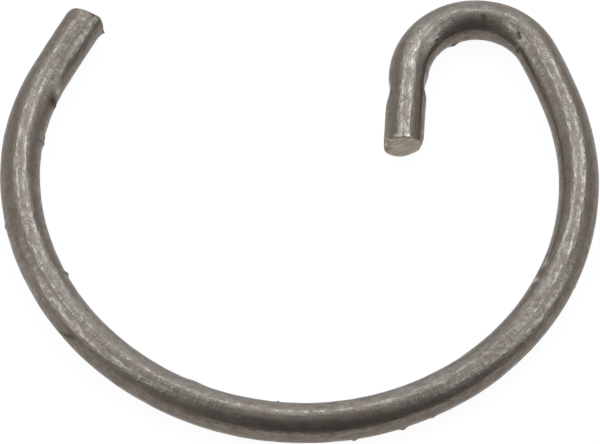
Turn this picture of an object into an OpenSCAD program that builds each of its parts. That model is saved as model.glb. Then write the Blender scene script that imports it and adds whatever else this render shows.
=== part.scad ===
// Wire retaining ring that keeps a piston pin in its bore. One length of round spring wire is coiled
// into an open C that presses into the groove. One end is left free, and the other is bent inwards
// into a hook, whose tail the fitter grips. The ring lies flat: the main coil's centre is at the
// origin, and the wire's axis is in the plane z = 0.

/* [Wire] */
// Diameter of the round wire
wire_d = 1; // [0.7:0.05:1.3]

/* [Main coil] */
// Radius of the main coil, at the wire's axis
coil_r = 6.85; // [6:0.05:8]
// Direction, seen from the origin, in which the main coil meets the free arm
coil_start_angle = -109; // [-125:0.5:-95]
// Angle that the main coil turns through
coil_angle = 127.5; // [110:0.5:135]

/* [Free arm] */
// Radius of the arm, which springs out a little wider than the main coil
arm_r = 7.2; // [6.5:0.05:8]
// Angle that the arm turns through
arm_angle = 66; // [50:0.5:75]
// Radius of the shoulder, which turns the end in again
shoulder_r = 6.1; // [5:0.05:7]
// Angle that the shoulder turns through
shoulder_angle = 33; // [20:0.5:42]
// Radius of the free end, which is almost straight
free_r = 60; // [30:1:90]
// Length of the free end
free_len = 1.9; // [1.2:0.05:2.5]

/* [Hook] */
// Radius of the long bend that leads from the main coil into the hook
lead_r = 14; // [10:0.5:20]
// Angle that this lead turns through
lead_angle = 7; // [4:0.5:9]
// Radius of the hook's bend, at the wire's axis
hook_r = 1.7; // [1.3:0.05:2.1]
// Angle that the hook turns through
hook_angle = 149.5; // [135:0.5:160]
// Radius of the tail, which is almost straight
tail_r = 60; // [30:1:90]
// Length of the tail
tail_len = 2.15; // [1.6:0.05:2.8]

/* [Cut ends] */
// Radius of the edge that the shear rolled over, on the outer side of the free end
free_roll_r = 0.22; // [0.1:0.02:0.34]
// How far the burr stands out from the wire, on the inner side of the free end
burr_h = 0.07; // [0.03:0.01:0.12]
// Length over which the burr rises out of the wire
burr_len = 0.38; // [0.2:0.02:0.6]
// Radius of the burr's nose, seen along the wire
burr_nose_r = 0.26; // [0.2:0.01:0.3]
// Angle by which the burr points below the ring's plane
burr_drop_angle = 24; // [0:1:45]
// Radius of the edge that the shear rolled over, on the inner side of the tail's end
tail_roll_r = 0.24; // [0.1:0.02:0.34]

/* [Grip marks] */
// Radius of the hollow pressed into the outer side of the tail
grip_out_r = 1; // [0.6:0.1:1.6]
// Depth of that outer hollow
grip_out_depth = 0.07; // [0.03:0.01:0.12]
// Length of round wire between the hook's bend and that outer hollow
grip_out_gap = 0.24; // [0.1:0.02:0.4]
// Radius of the hollow pressed into the inner side of the tail
grip_in_r = 0.7; // [0.5:0.1:1.2]
// Depth of that inner hollow
grip_in_depth = 0.09; // [0.03:0.01:0.12]
// Length of round wire between the hook's bend and that inner hollow
grip_in_gap = 0.02; // [0.01:0.01:0.1]

/* [Hidden] */
$fn = 64;
// Half of the wire's diameter
wire_r = wire_d / 2;
// Where the section's outline begins, between the ring's outer side and its top
section_start_angle = 45;
// Each bend laps over its neighbours by this angle, so that they are one solid at any size
lap_angle = 0.000001;
// Reach of the cutters, past the wire on every side
past = 2 * wire_d;
// Length of wire that is left past each end before the ends are cut
spare = 0.5;
// The round of a rolled edge stands this far off the wire's side, so that it runs out into it
roll_out = 0.004;
// The burr begins this far under the wire's surface
burr_sink = 0.02;

// The angle that a length takes up on a bend
function angle_of(length, radius) = length / radius * 180 / PI;

// The centre of the bend that carries on from another bend, which it meets in the given direction
function next_centre(centre, radius, next_radius, direction) =
    centre + (radius - next_radius) * [cos(direction), sin(direction)];

// The directions in which the bends meet, one after another around the ring
coil_end_angle = coil_start_angle + coil_angle;
lead_end_angle = coil_end_angle + lead_angle;
hook_end_angle = lead_end_angle + hook_angle;
tail_end_angle = hook_end_angle + angle_of(tail_len, tail_r);
arm_end_angle = coil_start_angle - arm_angle;
shoulder_end_angle = arm_end_angle - shoulder_angle;
free_end_angle = shoulder_end_angle - angle_of(free_len, free_r);

// The centres of the bends
coil_c = [0, 0];
lead_c = next_centre(coil_c, coil_r, lead_r, coil_end_angle);
hook_c = next_centre(lead_c, lead_r, hook_r, lead_end_angle);
tail_c = next_centre(hook_c, hook_r, tail_r, hook_end_angle);
arm_c = next_centre(coil_c, coil_r, arm_r, coil_start_angle);
shoulder_c = next_centre(arm_c, arm_r, shoulder_r, arm_end_angle);
free_c = next_centre(shoulder_c, shoulder_r, free_r, shoulder_end_angle);

// A move in a coarse and a fine step, so that neighbouring bends meet face to face
module placed(point) {
    coarse = [for (part = point) round(1000 * part) / 1000];
    translate(coarse)
        translate(point - coarse)
            children();
}

// A stretch of wire bent about a centre
module bend(centre, radius, from, turn) {
    lap = sign(turn) * lap_angle;
    placed(centre)
        rotate_extrude(start = from - lap, angle = turn + 2 * lap)
            translate([radius, 0])
                rotate(section_start_angle)
                    circle(d = wire_d);
}

// The frame at a point of a bend: +X points away from the bend's centre, and +Y along the wire
module on_bend(centre, radius, direction) {
    placed(centre)
        rotate(direction)
            translate([radius, 0, 0])
                children();
}

// An upright round cutter
module upright(radius) {
    cylinder(h = 2 * past, r = radius, center = true);
}

// The corner between +X and +Y, outside an upright round of the given radius
module outside_corner(radius) {
    difference() {
        translate([0, 0, -past])
            cube([past, past, 2 * past]);
        cylinder(h = 3 * past, r = radius, center = true);
    }
}

// What the shear takes off an end that points along +Y: the rest of the wire, and the edge that it
// rolled over on the +X side
module sheared_off(roll_r) {
    translate([-past, 0, -past])
        cube(2 * past);
    translate([wire_r + roll_out - roll_r, -roll_r, 0])
        outside_corner(roll_r);
}

// Half of the length that a round hollow of this depth takes up along the wire
function hollow_half(radius, depth) = sqrt(2 * radius * depth - depth * depth);

// The lip that the shear drew out: a slim cone beside the wire's axis, which runs out past the end
module burr() {
    reach = wire_r + burr_h - burr_nose_r;
    start_r = burr_nose_r - burr_h - burr_sink;
    slope = (burr_nose_r - start_r) / burr_len;
    rotate([0, -burr_drop_angle, 0])
        translate([-reach, -burr_len, 0])
            rotate([-90, 0, 0])
                cylinder(h = burr_len + spare, r1 = start_r, r2 = burr_nose_r + slope * spare);
}

// The almost straight free end, sheared off, with its burr on the inner side
module free_end() {
    extra = angle_of(spare, free_r);
    difference() {
        union() {
            bend(free_c, free_r, shoulder_end_angle, free_end_angle - shoulder_end_angle - extra);
            on_bend(free_c, free_r, free_end_angle)
                mirror([0, 1, 0])
                    burr();
        }
        on_bend(free_c, free_r, free_end_angle)
            mirror([0, 1, 0])
                sheared_off(free_roll_r);
    }
}

// The almost straight tail, sheared off, with a hollow on each side from the bending tool
module tail() {
    out_half = hollow_half(grip_out_r, grip_out_depth);
    in_half = hollow_half(grip_in_r, grip_in_depth);
    difference() {
        bend(tail_c, tail_r, hook_end_angle, tail_end_angle - hook_end_angle + angle_of(spare, tail_r));
        on_bend(tail_c, tail_r, hook_end_angle) {
            translate([wire_r - grip_out_depth + grip_out_r, grip_out_gap + out_half, 0])
                upright(grip_out_r);
            translate([grip_in_depth - wire_r - grip_in_r, grip_in_gap + in_half, 0])
                upright(grip_in_r);
        }
        on_bend(tail_c, tail_r, tail_end_angle)
            mirror([1, 0, 0])
                sheared_off(tail_roll_r);
    }
}

// The arm that runs from the main coil to the free end
module free_arm() {
    bend(arm_c, arm_r, arm_end_angle, arm_angle);
    bend(shoulder_c, shoulder_r, shoulder_end_angle, shoulder_angle);
    free_end();
}

// The lead, the hook's bend and the tail
module hook() {
    bend(lead_c, lead_r, coil_end_angle, lead_angle);
    bend(hook_c, hook_r, lead_end_angle, hook_angle);
    tail();
}

// The whole ring: the main coil, with the hook at one end and the free arm at the other
module retaining_ring() {
    color("#79726b") {
        bend(coil_c, coil_r, coil_start_angle, coil_angle);
        hook();
        free_arm();
    }
}

retaining_ring();
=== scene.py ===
# %% [markdown]
# # A wire retaining ring
# The ring is one length of drawn spring wire, coiled into an open C that snaps into the groove of a
# piston pin's bore. One end is sheared off plain, and the other is bent into a hook with a short tail.
# The CAD model gives the frame and the true sizes. This lesson gives the wire its skin: the marks of
# the tools, the grain of the steel, and the light of a small photo table.

# %% Load the frame
import bpy
import numpy as np
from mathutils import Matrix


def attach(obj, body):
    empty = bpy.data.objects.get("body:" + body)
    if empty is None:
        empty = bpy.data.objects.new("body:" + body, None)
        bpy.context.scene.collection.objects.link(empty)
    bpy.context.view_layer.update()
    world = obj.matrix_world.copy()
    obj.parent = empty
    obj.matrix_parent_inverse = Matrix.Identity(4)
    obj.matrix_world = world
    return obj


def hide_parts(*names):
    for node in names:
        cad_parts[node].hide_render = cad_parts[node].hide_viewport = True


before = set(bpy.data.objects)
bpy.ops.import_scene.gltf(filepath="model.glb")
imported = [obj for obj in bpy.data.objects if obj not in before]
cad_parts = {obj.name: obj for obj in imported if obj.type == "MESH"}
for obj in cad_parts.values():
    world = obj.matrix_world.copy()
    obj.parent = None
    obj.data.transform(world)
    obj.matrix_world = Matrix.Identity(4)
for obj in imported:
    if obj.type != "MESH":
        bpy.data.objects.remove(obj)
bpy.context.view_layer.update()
MM = 0.001  # lengths below are in millimetres, and Blender's are in metres

# %% [markdown]
# ## The wire's path
# The axis of the wire is a chain of seven bends that meet without a corner: free end, shoulder, arm,
# main coil, lead, hook and tail. A Bezier curve with a bevel would only come close to these radii, so
# the path is worked out as true arcs. On an arc, the heading grows evenly with the distance walked,
# and the point stands one radius to the right of the arc's centre, as seen along the heading.

# %% Seven bends, from the free end to the tail
WIRE_R = 0.5
FREE_R, FREE_LEN = 60.0, 1.9
SHOULDER_R, SHOULDER_ANGLE = 6.1, 33.0
ARM_R, ARM_ANGLE = 7.2, 66.0
COIL_R, COIL_ANGLE, COIL_START_ANGLE = 6.85, 127.5, -109.0
LEAD_R, LEAD_ANGLE = 14.0, 7.0
HOOK_R, HOOK_ANGLE = 1.7, 149.5
TAIL_R, TAIL_LEN = 60.0, 2.15
COIL = 3  # the main coil is the fourth bend, and its centre is the origin

bend_r = np.array([FREE_R, SHOULDER_R, ARM_R, COIL_R, LEAD_R, HOOK_R, TAIL_R])
bend_angle = np.radians([0, SHOULDER_ANGLE, ARM_ANGLE, COIL_ANGLE, LEAD_ANGLE, HOOK_ANGLE, 0])
bend_angle[[0, -1]] = FREE_LEN / FREE_R, TAIL_LEN / TAIL_R
joint_s = np.append(0, np.cumsum(bend_r * bend_angle))
joint_heading = np.append(0, np.cumsum(bend_angle))
joint_heading += np.radians(COIL_START_ANGLE + 90) - joint_heading[COIL]
LENGTH = joint_s[-1]


def to_the_right(heading):
    """The unit vector a quarter turn to the right of a heading: (sin h, -cos h)."""
    return np.stack([np.sin(heading), -np.cos(heading)], axis=-1)


# At a joint both centres lie on the same line, apart by the difference of the two radii.
steps = (bend_r[:-1] - bend_r[1:])[:, None] * to_the_right(joint_heading[1:-1])
bend_centre = np.vstack([[0, 0], np.cumsum(steps, axis=0)])
bend_centre -= bend_centre[COIL]


def wire_axis(s):
    """The axis after s mm: point = centre + radius * right, heading = start + s / radius."""
    bend = np.clip(np.searchsorted(joint_s, s, side="right") - 1, 0, len(bend_r) - 1)
    heading = joint_heading[bend] + (s - joint_s[bend]) / bend_r[bend]
    return bend_centre[bend] + bend_r[bend][..., None] * to_the_right(heading), heading


print("wire length %.2f mm, joints at" % LENGTH, np.round(joint_s, 2).tolist())

# %% [markdown]
# ## Marks on the skin
# A real wire isn't a perfect tube. It waves by a few thousandths of a millimetre, and it was nicked,
# scraped and stained in the box it came in. Sculpting would do, but can't be repeated. Here each mark is
# a small bell-shaped hill or pit at a distance along the wire and an angle around it: 0 degrees is the
# outer side, 90 the top and 180 the inner side. A mark also says how much pale and how much dark colour
# it shows, and many have no height at all. The pale colour is bare metal on some marks, and on others it
# paints highlights and glints; the dark colour is dirt on some, and on others it paints shade.

# %% Marks on the free end and the shoulder
# distance along, angle around, half length, half width, height, bare metal and painted highlight, dark
# dirt and painted shade
FREE_END_MARKS = [
    # free end: dark spots by the cut, dull spots, a painted highlight along the inner bright line, and
    # painted shade dimming the bright line above it
    (0.06, 106, 0.03, 0.03, 0.000, 0.0, 0.8),
    (0.06, 117, 0.03, 0.04, 0.000, 0.0, 0.8),
    (0.92, 153, 0.14, 0.09, 0.000, 0.0, 0.4),
    (1.30, 150, 0.16, 0.09, 0.000, 0.0, 0.4),
    (0.90, 123, 0.55, 0.07, 0.000, 0.20, 0.0),
    (0.95, 99, 0.60, 0.09, 0.000, 0.0, 0.32),
    # shoulder: a matt scraped flat, the dark patch after it, and bumps on the inner side
    (2.18, 138, 0.13, 0.11, 0.003, 0.40, 0.3),
    (2.22, 146, 0.17, 0.16, 0.000, 0.30, 0.5),
    (2.33, 154, 0.09, 0.12, 0.003, 0.55, 0.3),
    (2.40, 144, 0.06, 0.09, 0.003, 0.40, 0.2),
    (2.66, 157, 0.14, 0.15, -0.005, 0.0, 0.65),
    (2.69, 142, 0.10, 0.08, -0.005, 0.0, 0.45),
    (2.84, 152, 0.15, 0.15, 0.000, 0.0, 0.60),
    (2.69, 176, 0.06, 0.07, 0.035, 0.0, 0.3),
    (3.40, 160, 0.30, 0.02, 0.012, 0.5, 0.0),
    (3.76, 172, 0.10, 0.11, 0.030, 0.1, 0.2),
    (3.94, 170, 0.07, 0.11, 0.050, 0.1, 0.2),
    (4.79, 144, 0.04, 0.03, -0.012, 0.0, 0.8),
]
print(len(FREE_END_MARKS), "marks on the free end and the shoulder")

# %% Marks on the arm and the main coil
COIL_MARKS = [
    # arm: bumps on both sides, the rubbed outer side, and a slanting gash
    (6.30, 2, 0.06, 0.08, 0.030, 0.2, 0.0),
    (7.90, 22, 1.50, 0.20, 0.000, 0.14, 0.0),
    (8.17, 158, 0.05, 0.10, 0.050, 0.1, 0.2),
    (9.40, 350, 0.07, 0.09, -0.020, 0.0, 0.8),
    (9.50, 6, 0.07, 0.07, -0.005, 0.0, 0.9),
    (9.61, 16, 0.07, 0.05, -0.004, 0.0, 0.9),
    (9.72, 25, 0.08, 0.05, -0.004, 0.0, 0.9),
    (9.83, 33, 0.08, 0.05, -0.004, 0.0, 0.8),
    (13.01, 160, 0.22, 0.15, 0.025, 0.0, 0.2),
    # main coil: bumps on both sides, painted shade that dims the bright line over a stretch, pale rubs
    # with dirt between them, a painted highlight along the bright line further on, and a nick
    (15.30, 148, 0.03, 0.06, 0.030, 0.3, 0.0),
    (17.15, 333, 0.05, 0.10, 0.040, 0.0, 0.35),
    (18.32, 333, 0.07, 0.10, 0.048, 0.0, 0.35),
    (19.07, 338, 0.05, 0.08, 0.025, 0.0, 0.3),
    (21.20, 108, 1.60, 0.30, 0.000, 0.0, 0.18),
    (23.31, 138, 0.07, 0.13, 0.000, 0.0, 0.40),
    (23.47, 141, 0.07, 0.12, 0.000, 1.0, 0.0),
    (23.74, 142, 0.14, 0.14, 0.000, 0.0, 0.35),
    (23.96, 338, 0.04, 0.06, 0.025, 0.2, 0.0),
    (24.04, 135, 0.13, 0.07, 0.000, 1.0, 0.0),
    (24.30, 152, 0.06, 0.06, 0.000, 0.0, 0.6),
    (25.97, 78, 0.05, 0.04, 0.006, 0.8, 0.0),
    (26.80, 97, 0.45, 0.05, 0.000, 0.12, 0.0),
    (28.37, 8, 0.05, 0.05, -0.015, 0.0, 0.4),
]
print(len(COIL_MARKS), "marks on the arm and the main coil")

# %% Marks on the hook and the tail
HOOK_MARKS = [
    # hook: dirty pits with pale rims, a brown stain, a dark lump inside, and painted highlights along
    # its bright streaks
    (30.92, 156, 0.07, 0.06, -0.008, 0.0, 0.8),
    (30.99, 122, 0.05, 0.04, 0.006, 0.4, 0.0),
    (31.01, 146, 0.05, 0.04, 0.006, 0.5, 0.0),
    (31.12, 123, 0.06, 0.06, -0.006, 0.0, 1.2),
    (31.24, 117, 0.07, 0.06, -0.006, 0.0, 1.2),
    (31.46, 140, 0.15, 0.10, 0.000, 0.0, 0.35),
    (31.61, 106, 0.11, 0.08, 0.000, 0.12, 0.0),
    (32.35, 121, 0.15, 0.16, 0.000, 0.0, 0.6),
    (32.38, 106, 0.10, 0.08, 0.000, 0.0, 0.45),
    (33.38, 204, 0.16, 0.10, 0.040, 0.0, 0.9),
    (33.58, 182, 0.08, 0.08, 0.010, 0.2, 0.0),
    (33.98, 100, 0.26, 0.08, 0.001, 0.18, 0.0),
    (34.20, 138, 0.60, 0.25, 0.000, 0.08, 0.0),
    (34.55, 97, 0.40, 0.06, 0.001, 0.35, 0.0),
    (35.05, 93, 0.26, 0.05, 0.001, 0.45, 0.0),
    # tail: a rubbed spot, a painted highlight and two painted glints by the cut, and the inner corner
    # that the shear narrowed, with painted shade on it
    (35.14, 74, 0.10, 0.06, 0.001, 0.20, 0.0),
    (36.92, 86, 0.16, 0.07, 0.002, 0.25, 0.0),
    (37.19, 66, 0.035, 0.06, 0.004, 0.5, 0.0),
    (37.19, 106, 0.03, 0.08, 0.004, 0.45, 0.0),
    (37.22, 192, 0.16, 0.20, -0.075, 0.0, 0.45),
]
marks = np.array(FREE_END_MARKS + COIL_MARKS + HOOK_MARKS)
mark_s, mark_degrees, mark_half_len, mark_half_width, mark_height, mark_bare_and_highlight, mark_dirt_and_shade = marks.T
print(len(marks), "marks in all, tallest %.0f micrometres" % (1000 * mark_height.max()))


# %% The shape of a mark
def around(angle, middle):
    """The angle from the middle of a mark, the short way round."""
    return (angle - middle + np.pi) % (2 * np.pi) - np.pi


def bells(s, angle):
    """One bell per mark, exp(-(ds / half length)^2 - (r * da / half width)^2), last axis = mark."""
    ds = (s[..., None] - mark_s) / mark_half_len
    da = WIRE_R * around(angle[..., None], np.radians(mark_degrees)) / mark_half_width
    return np.exp(-ds**2 - da**2)


# %% The burr of the free end
BURR_HEIGHT, BURR_LEN = 0.075, 0.34
BURR_ANGLE, BURR_SPREAD = np.radians(203), np.radians(15)


def burr(s, angle):
    """A lip that rises with the square of the nearness to the end, bell-shaped around the wire."""
    near = np.clip(1 - s / BURR_LEN, 0, 1)
    return BURR_HEIGHT * near**2 * np.exp(-((around(angle, BURR_ANGLE) / BURR_SPREAD) ** 2))


# %% Waves, and the whole skin
WAVES = 40
WAVE_HEIGHT = 0.0025
SHORTEST_WAVE, LONGEST_WAVE = 0.5, 4.0
MOST_AROUND = 4  # waves in one turn around the wire
WAVE_SEED = 7
rng = np.random.default_rng(WAVE_SEED)
wave_along = 2 * np.pi / rng.uniform(SHORTEST_WAVE, LONGEST_WAVE, WAVES)
wave_around = rng.integers(0, MOST_AROUND + 1, WAVES)
wave_phase = rng.uniform(0, 2 * np.pi, WAVES)


def skin_radius(s, angle):
    """Wire radius + small waves + the marks' hills and pits + the burr towards the free end."""
    waves = np.cos(s[..., None] * wave_along + angle[..., None] * wave_around + wave_phase)
    wavy = WIRE_R + WAVE_HEIGHT * waves.sum(-1) / np.sqrt(WAVES)
    return wavy + bells(s, angle) @ mark_height + burr(s, angle)


print(WAVES, "waves of %.1f to %.1f mm" % (SHORTEST_WAVE, LONGEST_WAVE))

# %% [markdown]
# ## The two ends
# A shear cut the wire, so each end leans a little and has one edge rolled over. The free end is worn
# beside its burr, and the tail has a notch in its outer edge. All this is a depth behind the flat end,
# so the cut faces become the first and last rows of the same surface: a line runs from the middle of one
# cut face out to its rim, along the whole wire, and in again to the middle of the other. Turned once
# around the wire, that line is the closed skin.

# %% Depths of the cut faces
FREE_ROLL_R = 0.22
FREE_SET_BACK, FREE_LEAN = 0.045, 0.11
TAIL_LEAN = 0.087
CHIP_FROM_R = 0.2  # a broken edge reaches in to this distance from the axis


def rolled(out, radius):
    """Depth of a rolled edge, out mm from the axis: a quarter round that ends on the wire's side."""
    into = np.clip(out - (WIRE_R - radius), 0, radius)
    return radius - np.sqrt(radius**2 - into**2)


def chip(out, up, middle, before, after, depth):
    """A broken edge: a bell around the rim with two half widths, that fades with the square inwards."""
    turn = np.degrees(around(np.arctan2(up, out), np.radians(middle)))
    bell = np.exp(-((turn / np.where(turn < 0, before, after)) ** 2))
    outwards = np.clip((np.hypot(out, up) - CHIP_FROM_R) / (WIRE_R - CHIP_FROM_R), 0, 1)
    return depth * bell * outwards**2


def free_face(out, up):
    """Depth of the free end: leaning, rolled outside, one corner proud, worn beside the burr."""
    corner = chip(out, up, middle=138, before=20, after=11, depth=-0.040)
    worn = chip(out, up, middle=186, before=20, after=20, depth=0.05)
    return FREE_SET_BACK + FREE_LEAN * out + rolled(out, FREE_ROLL_R) + corner + worn


def tail_face(out, up):
    """Depth of the tail's end: leaning, with a notch in its outer edge and a roll below inside."""
    notch = chip(out, up, middle=0, before=12, after=34, depth=0.3)
    roll = chip(out, up, middle=-128, before=34, after=34, depth=0.075)
    return -TAIL_LEAN * out + notch + roll


print("the ends lean by %.1f and %.1f degrees" % tuple(np.degrees(np.arctan([FREE_LEAN, TAIL_LEAN]))))

# %% [markdown]
# ## The tool's hollows
# The tool that bent the hook gripped the wire between two round jaws, and each left a hollow in the side
# of the tail. A Boolean would cut them sharply. Here the wire's half width is held under a round limit
# on each side, with the corner between them softened, as pressed steel is.

# %% Hollows
GRIP_OUT_R, GRIP_OUT_DEPTH, GRIP_OUT_GAP = 1.0, 0.07, 0.24
GRIP_IN_R, GRIP_IN_DEPTH, GRIP_IN_GAP = 0.7, 0.09, 0.02
GRIP_SOFT = 0.015
tail_start = joint_s[-2]


def hollow(s, radius, depth, gap):
    """Half width that a round tool of this radius and depth leaves the tail, at s mm along."""
    half = np.sqrt(2 * radius * depth - depth**2)
    from_middle = s - (tail_start + gap + half)
    reach = np.clip(np.abs(from_middle), 0, radius)
    return WIRE_R - depth + radius - np.sqrt(radius**2 - reach**2)


def softly_under(value, limit):
    """The lesser of two values, with the corner between them rounded."""
    return (value + limit - np.sqrt((value - limit) ** 2 + GRIP_SOFT**2)) / 2 + GRIP_SOFT / 4


print("the tail starts at %.2f mm" % tail_start)

# %% [markdown]
# ## The closed skin
# The rows of the grid are packed more closely where the shape is busy: on the cut faces and their rims,
# by the free end and on the tail. Everything is computed as whole arrays, and one call puts it into the
# mesh.

# %% Rows of the grid
COLUMNS = 104
FACE_ROWS, RIM_ROWS, END_ROWS, SIDE_ROWS, TAIL_ROWS = 21, 5, 40, 720, 105
RIM_R = 0.02
END_LEN = 0.7  # the lean of a cut face fades out along the wire over this length
TAIL_ROWS_FROM = 34.6  # the closer rows start a little before the tail

angle = np.arange(COLUMNS) * 2 * np.pi / COLUMNS
face_part = np.sin(np.linspace(0, np.pi / 2, FACE_ROWS + 1)[1:])
rim_turn = np.linspace(0, np.pi / 2, RIM_ROWS + 1)[1:]
along = np.concatenate([
    np.linspace(0, END_LEN, END_ROWS, endpoint=False)[1:],
    np.linspace(END_LEN, TAIL_ROWS_FROM, SIDE_ROWS, endpoint=False),
    np.linspace(TAIL_ROWS_FROM, LENGTH, TAIL_ROWS)[:-1],
])


def end_rows(at, face, forward):
    """Radius and s of the rows of a cut face, at parts of the radius, and of its quarter round rim."""
    rim = skin_radius(np.full(COLUMNS, at), angle)
    radius = np.concatenate([
        face_part[:, None] * (rim - RIM_R),
        rim - RIM_R + RIM_R * np.sin(rim_turn)[:, None],
    ])
    back = np.concatenate([np.zeros_like(face_part), RIM_R * (1 - np.cos(rim_turn))])[:, None]
    within = np.minimum(radius, WIRE_R)
    depth = back + face(within * np.cos(angle), within * np.sin(angle))
    return radius, at + depth if forward else at - depth


free_radius, free_s = end_rows(0.0, free_face, True)
tail_radius, tail_s = end_rows(LENGTH, tail_face, False)
# Near an end, the rows along the wire follow the shape of the cut, less and less.
near_free = np.clip(1 - along / END_LEN, 0, 1)[:, None] ** 2
near_tail = np.clip(1 - (LENGTH - along) / END_LEN, 0, 1)[:, None] ** 2
side_s = along[:, None] + free_s[-1] * near_free - (LENGTH - tail_s[-1]) * near_tail
side_radius = skin_radius(side_s, angle)

row_s = np.concatenate([free_s, side_s, tail_s[::-1]])
row_radius = np.concatenate([free_radius, side_radius, tail_radius[::-1]])
print("grid of", row_s.shape, "points")

# %% Points in space
round_out = row_radius * np.cos(angle)
up = row_radius * np.sin(angle)
out = softly_under(round_out, hollow(row_s, GRIP_OUT_R, GRIP_OUT_DEPTH, GRIP_OUT_GAP))
out = -softly_under(-out, hollow(row_s, GRIP_IN_R, GRIP_IN_DEPTH, GRIP_IN_GAP))


def placed(s, out, up):
    """A point of the skin: axis + out * (right of the heading) + up * z."""
    point, heading = wire_axis(s)
    return np.concatenate([point + out[..., None] * to_the_right(heading), up[..., None]], axis=-1)


skin = placed(row_s, out, up).reshape(-1, 3)
poles = placed(np.array([0.0, LENGTH]), np.zeros(2), np.zeros(2))
points = np.vstack([skin, poles]) * MM
print("lowest point %.3f mm, highest %.3f mm" % (points[:, 2].min() / MM, points[:, 2].max() / MM))

# %% Faces: squares between the rows, and a fan of triangles around each pole
ROWS = len(row_s)
index = np.arange(ROWS * COLUMNS).reshape(ROWS, COLUMNS)
beside = np.roll(index, -1, axis=1)
squares = np.stack([index[:-1], index[1:], beside[1:], beside[:-1]], axis=-1).reshape(-1, 4)
free_pole, tail_pole = ROWS * COLUMNS, ROWS * COLUMNS + 1
free_fan = np.stack([np.full(COLUMNS, free_pole), index[0], beside[0]], axis=-1)
tail_fan = np.stack([np.full(COLUMNS, tail_pole), beside[-1], index[-1]], axis=-1)

mesh = bpy.data.meshes.new("ring_wire")
mesh.from_pydata(points.tolist(), [], squares.tolist() + free_fan.tolist() + tail_fan.tolist())
mesh.polygons.foreach_set("use_smooth", np.ones(len(mesh.polygons), dtype=bool))
ring = bpy.data.objects.new("ring_wire", mesh)
bpy.context.collection.objects.link(ring)
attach(ring, "root")
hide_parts("retaining_ring")
print("ring_wire:", len(mesh.vertices), "points,", len(squares) * 2 + 2 * COLUMNS, "triangles")

# %% [markdown]
# ## What the finish needs to know
# The steel's grain follows the wire round every bend. Object coordinates would cut straight through
# it, so each point carries its own place on the wire: millimetres along, out and up. A second set of
# numbers says how much pale and how much dark colour the marks show there: bare metal and painted
# highlights, dirt and painted shade. The cut faces get a finish of their own, so they are told apart
# by the rows that they lie in.

# %% Attributes on the points
place = np.stack([row_s, round_out, up], axis=-1).reshape(-1, 3)
place = np.vstack([place, [[0, 0, 0], [LENGTH, 0, 0]]])
mark_bells = bells(row_s, angle)
bare_and_highlight = np.clip(mark_bells @ mark_bare_and_highlight, 0, 1)
dirt_and_shade = np.clip(mark_bells @ mark_dirt_and_shade, 0, 1)
shown = np.stack([bare_and_highlight, dirt_and_shade, np.zeros_like(bare_and_highlight)], axis=-1).reshape(-1, 3)
shown = np.vstack([shown, np.zeros((2, 3))])
for name, values in (("wire_place", place), ("marks_wear_and_painted_light", shown)):
    layer = mesh.attributes.new(name, "FLOAT_VECTOR", "POINT")
    layer.data.foreach_set("vector", values.astype(np.float32).ravel())

is_cut = np.zeros((ROWS - 1, COLUMNS), dtype=np.int32)
is_cut[: FACE_ROWS - 1] = 1
is_cut[-(FACE_ROWS - 1):] = 1
cut_index = np.concatenate([is_cut.ravel(), np.ones(2 * COLUMNS, dtype=np.int32)])
print("cut faces:", int(cut_index.sum()))

# %% [markdown]
# ## Drawn, oxidised steel
# The wire was pulled through a die and then heated, so it is metal under a thin grey-brown oxide. It
# has fine lines along its length, ripples across it, a sparkling grain, and duller and warmer patches.
# All of them are noises read on the wire's own coordinates, so no pattern shows a seam.


# %% Helpers for shader nodes
def node(tree, kind, values=None, **settings):
    """Add one node: settings are its options, and a value that is a socket is linked."""
    made = tree.nodes.new(kind)
    for name, value in settings.items():
        setattr(made, name, value)
    for name, value in (values or {}).items():
        if isinstance(value, bpy.types.NodeSocket):
            tree.links.new(value, made.inputs[name])
        else:
            made.inputs[name].default_value = value
    return made


def noise(tree, place, scale, detail, roughness=0.55):
    """A noise on the wire's coordinates, with a scale of its own in each direction."""
    where = node(tree, "ShaderNodeMapping", {"Vector": place, "Scale": scale})
    return node(tree, "ShaderNodeTexNoise", {
        "Vector": where.outputs["Vector"], "Scale": 1.0, "Detail": detail, "Roughness": roughness,
    }).outputs["Fac"]


def ramp(tree, value, low, high, to_low, to_high):
    """Carry a value from one range to another, and stop at the ends."""
    return node(tree, "ShaderNodeMapRange", {
        "Value": value, "From Min": low, "From Max": high, "To Min": to_low, "To Max": to_high,
    }).outputs["Result"]


def blended(tree, share, first, second, kind="MIX"):
    """Mix two colours by a share."""
    values = {0: share, 6: first, 7: second}
    return node(tree, "ShaderNodeMix", values, data_type="RGBA", blend_type=kind).outputs[2]


def combined(tree, kind, first, second):
    """One step of arithmetic with two numbers."""
    return node(tree, "ShaderNodeMath", {0: first, 1: second}, operation=kind).outputs["Value"]


def empty_tree(owner):
    """Turn on the nodes of a material or a world, and clear them."""
    owner.use_nodes = True
    owner.node_tree.nodes.clear()
    return owner.node_tree


# %% The wire's noises
# waves in a millimetre along the wire, outwards and upwards
PATCH_SCALE = (0.5, 1.6, 1.6)
LINE_SCALE = (1.8, 12, 12)
GRAIN_SCALE = (7, 9, 9)
RIPPLE_SCALE = (9, 3, 3)
MOTTLE_SCALE = (3.5, 5, 5)

drawn = bpy.data.materials.new("drawn_oxidised_steel")
tree = empty_tree(drawn)
place_in = node(tree, "ShaderNodeAttribute", attribute_name="wire_place").outputs["Vector"]
patches = noise(tree, place_in, PATCH_SCALE, 3)
lines = noise(tree, place_in, LINE_SCALE, 1.5, 0.5)
grain = noise(tree, place_in, GRAIN_SCALE, 1, 0.5)
ripple = noise(tree, place_in, RIPPLE_SCALE, 1, 0.5)
mottle = noise(tree, place_in, MOTTLE_SCALE, 2, 0.6)

# %% The wire's colour
OXIDE = (0.159, 0.131, 0.108, 1)
WARM_OXIDE = (0.152, 0.123, 0.098, 1)
BURNISHED = (0.178, 0.156, 0.136, 1)
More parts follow.
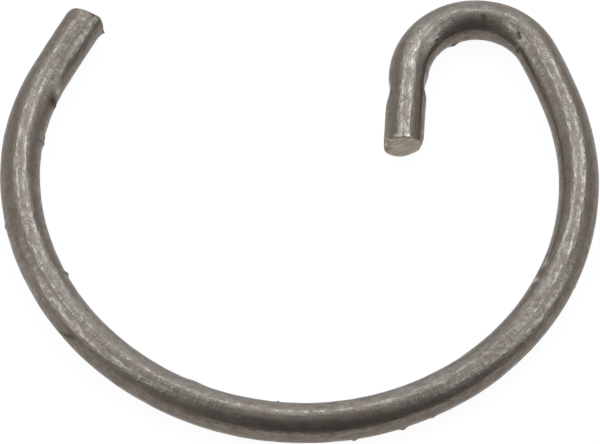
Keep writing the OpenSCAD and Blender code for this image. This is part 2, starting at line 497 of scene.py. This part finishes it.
# the pale colour below also serves as painted highlight and glint on some marks, and the dark one as
# painted shade
BARE_STEEL_AND_HIGHLIGHT = (0.50, 0.455, 0.41, 1)
PIT_DIRT_AND_SHADE = (0.050, 0.038, 0.027, 1)
MOTTLE_DARK, MOTTLE_PALE = 0.88, 1.12

# a noise hovers around 0.5, so each ramp picks a narrow range about it
colour = blended(tree, ramp(tree, patches, 0.42, 0.62, 0, 1), OXIDE, WARM_OXIDE)
fleck = ramp(tree, combined(tree, "ADD", lines, grain), 0.82, 1.18, 0, 1)
colour = blended(tree, fleck, colour, BURNISHED)
tone = ramp(tree, mottle, 0.3, 0.7, MOTTLE_DARK, MOTTLE_PALE)
colour = blended(tree, 1.0, colour, tone, "MULTIPLY")

# the marks come out uneven, as rubbed and dirty places do, and the painted highlights and shade with
# them
marks_in = node(tree, "ShaderNodeAttribute", attribute_name="marks_wear_and_painted_light").outputs["Vector"]
marks_split = node(tree, "ShaderNodeSeparateXYZ", {"Vector": marks_in})
uneven = ramp(tree, mottle, 0.35, 0.6, 0.5, 1.2)
# the dark share paints shade on some marks, and the pale share paints highlights and glints
dirt_and_shade_share = combined(tree, "MULTIPLY", marks_split.outputs["Y"], uneven)
bare_and_highlight_share = combined(tree, "MULTIPLY", marks_split.outputs["X"], uneven)
colour = blended(tree, dirt_and_shade_share, colour, PIT_DIRT_AND_SHADE)
colour = blended(tree, bare_and_highlight_share, colour, BARE_STEEL_AND_HIGHLIGHT)

# %% The wire's gloss and fine relief
OXIDE_ROUGH, BURNISHED_ROUGH, DIRT_ROUGH = 0.40, 0.24, 0.4
GRAIN_SHARE, RIPPLE_SHARE = 0.85, 0.8
RELIEF = 0.007
EDGE_TINT = (0.9, 0.9, 0.9, 1)

rough = ramp(tree, fleck, 0, 1, OXIDE_ROUGH, BURNISHED_ROUGH)
rough = combined(tree, "ADD", rough, combined(tree, "MULTIPLY", dirt_and_shade_share, DIRT_ROUGH))
height = combined(tree, "ADD", lines, combined(tree, "MULTIPLY", grain, GRAIN_SHARE))
height = combined(tree, "ADD", height, combined(tree, "MULTIPLY", ripple, RIPPLE_SHARE))
bump = node(tree, "ShaderNodeBump", {"Strength": 1.0, "Distance": RELIEF * MM, "Height": height})
shader = node(tree, "ShaderNodeBsdfPrincipled", {
    "Base Color": colour, "Metallic": 1.0, "Roughness": rough, "Normal": bump.outputs["Normal"],
    "Specular Tint": EDGE_TINT,
})
node(tree, "ShaderNodeOutputMaterial", {"Surface": shader.outputs["BSDF"]})
mesh.materials.append(drawn)
print(drawn.name, "has", len(tree.nodes), "nodes")

# %% [markdown]
# ## Sheared faces
# Where the wire was cut, fresh steel shows. It is paler and more matt than the drawn skin, with
# slanting scratches from the blade.

# %% The cut faces' finish
CUT_STEEL = (0.40, 0.355, 0.285, 1)
CUT_SHADE = (0.22, 0.19, 0.148, 1)
SCRATCH_SLANT = np.radians(35)
SCRATCH_SCALE = (1, 2.5, 22)
CUT_GRAIN_SCALE = (14, 14, 14)
CUT_GRAIN_SHARE = 0.4
CUT_RELIEF = 0.008
CUT_ROUGH = 0.5

cut = bpy.data.materials.new("sheared_steel")
tree = empty_tree(cut)
place_in = node(tree, "ShaderNodeAttribute", attribute_name="wire_place").outputs["Vector"]
slant = node(tree, "ShaderNodeMapping", {"Vector": place_in, "Rotation": (SCRATCH_SLANT, 0, 0)})
scratches = noise(tree, slant.outputs["Vector"], SCRATCH_SCALE, 3)
grain = noise(tree, place_in, CUT_GRAIN_SCALE, 2)
colour = blended(tree, ramp(tree, scratches, 0.35, 0.65, 0, 1), CUT_SHADE, CUT_STEEL)
height = combined(tree, "ADD", scratches, combined(tree, "MULTIPLY", grain, CUT_GRAIN_SHARE))
bump = node(tree, "ShaderNodeBump", {"Strength": 1.0, "Distance": CUT_RELIEF * MM, "Height": height})
shader = node(tree, "ShaderNodeBsdfPrincipled", {
    "Base Color": colour, "Metallic": 1.0, "Roughness": CUT_ROUGH, "Normal": bump.outputs["Normal"],
})
node(tree, "ShaderNodeOutputMaterial", {"Surface": shader.outputs["BSDF"]})
mesh.materials.append(cut)
mesh.polygons.foreach_set("material_index", cut_index)
mesh.update()
print(cut.name, "has", len(tree.nodes), "nodes")

# %% [markdown]
# ## The photo table
# The ring lies on a white table, so bright that its shadow is only a breath. Nearly all of its white is
# a glow that only the camera and the wire's reflections see. The rest comes from the lamps, and that is
# the part that the ring can shade.

# %% Table
TABLE_HALF = 0.6  # in metres
TABLE_GAP = 0.002
TABLE_GLOW = 0.94
TABLE_PAPER = (0.08, 0.08, 0.08, 1)

table_mesh = bpy.data.meshes.new("photo_table")
corners = np.array([(-1, -1), (1, -1), (1, 1), (-1, 1)]) * TABLE_HALF
table_z = (points[:, 2].min() - TABLE_GAP * MM) * np.ones((4, 1))
table_mesh.from_pydata(np.hstack([corners, table_z]).tolist(), [], [(0, 1, 2, 3)])
table = bpy.data.objects.new("photo_table", table_mesh)
bpy.context.collection.objects.link(table)

white = bpy.data.materials.new("white_table")
tree = empty_tree(white)
path = node(tree, "ShaderNodeLightPath")
seen = combined(tree, "MAXIMUM", path.outputs["Is Camera Ray"], path.outputs["Is Glossy Ray"])
seen = combined(tree, "MAXIMUM", seen, path.outputs["Is Transmission Ray"])
strength = combined(tree, "MULTIPLY", seen, TABLE_GLOW)
glow = node(tree, "ShaderNodeEmission", {"Color": (1, 1, 1, 1), "Strength": strength})
paper = node(tree, "ShaderNodeBsdfDiffuse", {"Color": TABLE_PAPER})
both = node(tree, "ShaderNodeAddShader", {0: glow.outputs[0], 1: paper.outputs[0]})
node(tree, "ShaderNodeOutputMaterial", {"Surface": both.outputs[0]})
table_mesh.materials.append(white)
print("table at %.3f mm" % (table_z[0, 0] / MM))

# %% [markdown]
# ## Light
# Two tall soft boxes stand left and right of the table, a narrower lamp hangs behind each of them, a
# small one between those two, and a wide panel closes the back. The boxes give the pale band on the
# wire's sides, and the lamps the bright lines in it. The gap between the boxes, where the camera
# stands, gives the dark band along the wire's front. The brightness is written as what the wire sees,
# and the lamp's power follows from it: power = pi * area * brightness. The light is a little cool, so
# that the brown oxide comes out almost grey.

# %% Lamps
LAMP_DISTANCE = 0.5  # in metres
LAMP_COLOUR = (0.81, 0.905, 1.0)


def soft_box(name, azimuth, elevation, width, height, brightness):
    """A rectangular lamp, sized in metres, that faces the ring. The azimuth turns from +Y towards +X."""
    lamp = bpy.data.lights.new(name, "AREA")
    lamp.shape, lamp.size, lamp.size_y = "RECTANGLE", width, height
    lamp.energy = np.pi * width * height * brightness
    lamp.color = LAMP_COLOUR
    holder = bpy.data.objects.new(name, lamp)
    bpy.context.collection.objects.link(holder)
    az, el = np.radians(azimuth), np.radians(elevation)
    towards = np.array([np.cos(el) * np.sin(az), np.cos(el) * np.cos(az), np.sin(el)])
    holder.location = LAMP_DISTANCE * towards
    holder.rotation_euler = (np.pi / 2 - el, 0, np.pi - az)
    print("%s: %.2f W" % (name, lamp.energy))


soft_box("left_box", -95, 45.8, 0.177, 0.400, 3.3)
soft_box("right_box", 95, 44, 0.177, 0.437, 2.6)
soft_box("left_lamp", -30.5, 54.4, 0.103, 0.233, 4.7)
soft_box("right_lamp", 35.4, 52.3, 0.117, 0.277, 5.4)
soft_box("middle_lamp", 0, 52, 0.08, 0.055, 10.8)
soft_box("back_panel", 0, 21.5, 0.638, 0.42, 0.95)

# %% [markdown]
# ## The room
# Shiny wire mirrors the whole room, so the room isn't one grey. It is dim behind the camera, brighter at
# the back, and a little brighter again on the left, most of all low down and towards the camera. An
# image of a room would do the same, but a few ramps on the direction are easier to adjust.

# %% Room
CAMERA_SIDE, FRONT_HALF = 0.20, 0.33
BACK_EXTRA, LEFT_EXTRA = 0.36, 0.13
LEFT_FRONT_TIMES, LEFT_LOW_TIMES = 2, 1.8

world = bpy.data.worlds.new("room")
bpy.context.scene.world = world
tree = empty_tree(world)
direction = node(tree, "ShaderNodeTexCoord").outputs["Generated"]
split = node(tree, "ShaderNodeSeparateXYZ", {"Vector": direction})
to_right, to_back, upwards = split.outputs["X"], split.outputs["Y"], split.outputs["Z"]
# each part of the direction runs from -1 to 1, and a ramp picks the range where the room changes
front = ramp(tree, to_back, -0.95, -0.4, CAMERA_SIDE, FRONT_HALF)
back = ramp(tree, to_back, -0.3, 0.05, 0, BACK_EXTRA)
left = ramp(tree, to_right, -0.7, -0.2, LEFT_EXTRA, 0)
left = combined(tree, "MULTIPLY", left, ramp(tree, upwards, 0.08, 0.3, LEFT_LOW_TIMES, 1))
left = combined(tree, "MULTIPLY", left, ramp(tree, to_back, -0.4, -0.1, LEFT_FRONT_TIMES, 1))
level = combined(tree, "ADD", combined(tree, "ADD", front, back), left)
backdrop = node(tree, "ShaderNodeBackground", {"Color": (1, 1, 1, 1), "Strength": level})
node(tree, "ShaderNodeOutputWorld", {"Surface": backdrop.outputs[0]})
bpy.context.scene.view_settings.view_transform = "Standard"
print(world.name, "has", len(tree.nodes), "nodes")

# %% [markdown]
# ## Camera
# The photo was taken from well above the front edge, through a long lens: the far side of the ring is
# hardly smaller than the near side. The scale and the picture's middle are measured from the photo.

# %% Camera
PICTURE_WIDTH = 600
PIXELS_PER_MM = 40.197
VIEW_ELEVATION = np.radians(60)
VIEW_DISTANCE = 320.0
LOOK_AT = np.array([-0.100, -1.127, 0.0])
SENSOR_WIDTH = 36.0
NEAREST, FARTHEST = 0.01, 10.0  # in metres

camera = bpy.data.cameras.new("camera")
camera.sensor_width = SENSOR_WIDTH
camera.lens = SENSOR_WIDTH * VIEW_DISTANCE * PIXELS_PER_MM / PICTURE_WIDTH
camera.clip_start, camera.clip_end = NEAREST, FARTHEST
eye = bpy.data.objects.new("camera", camera)
bpy.context.collection.objects.link(eye)
to_eye = np.array([0, -np.cos(VIEW_ELEVATION), np.sin(VIEW_ELEVATION)])
eye.location = (LOOK_AT + VIEW_DISTANCE * to_eye) * MM
eye.rotation_euler = (np.pi / 2 - VIEW_ELEVATION, 0, 0)
bpy.context.scene.camera = eye
print("lens %.0f mm" % camera.lens)
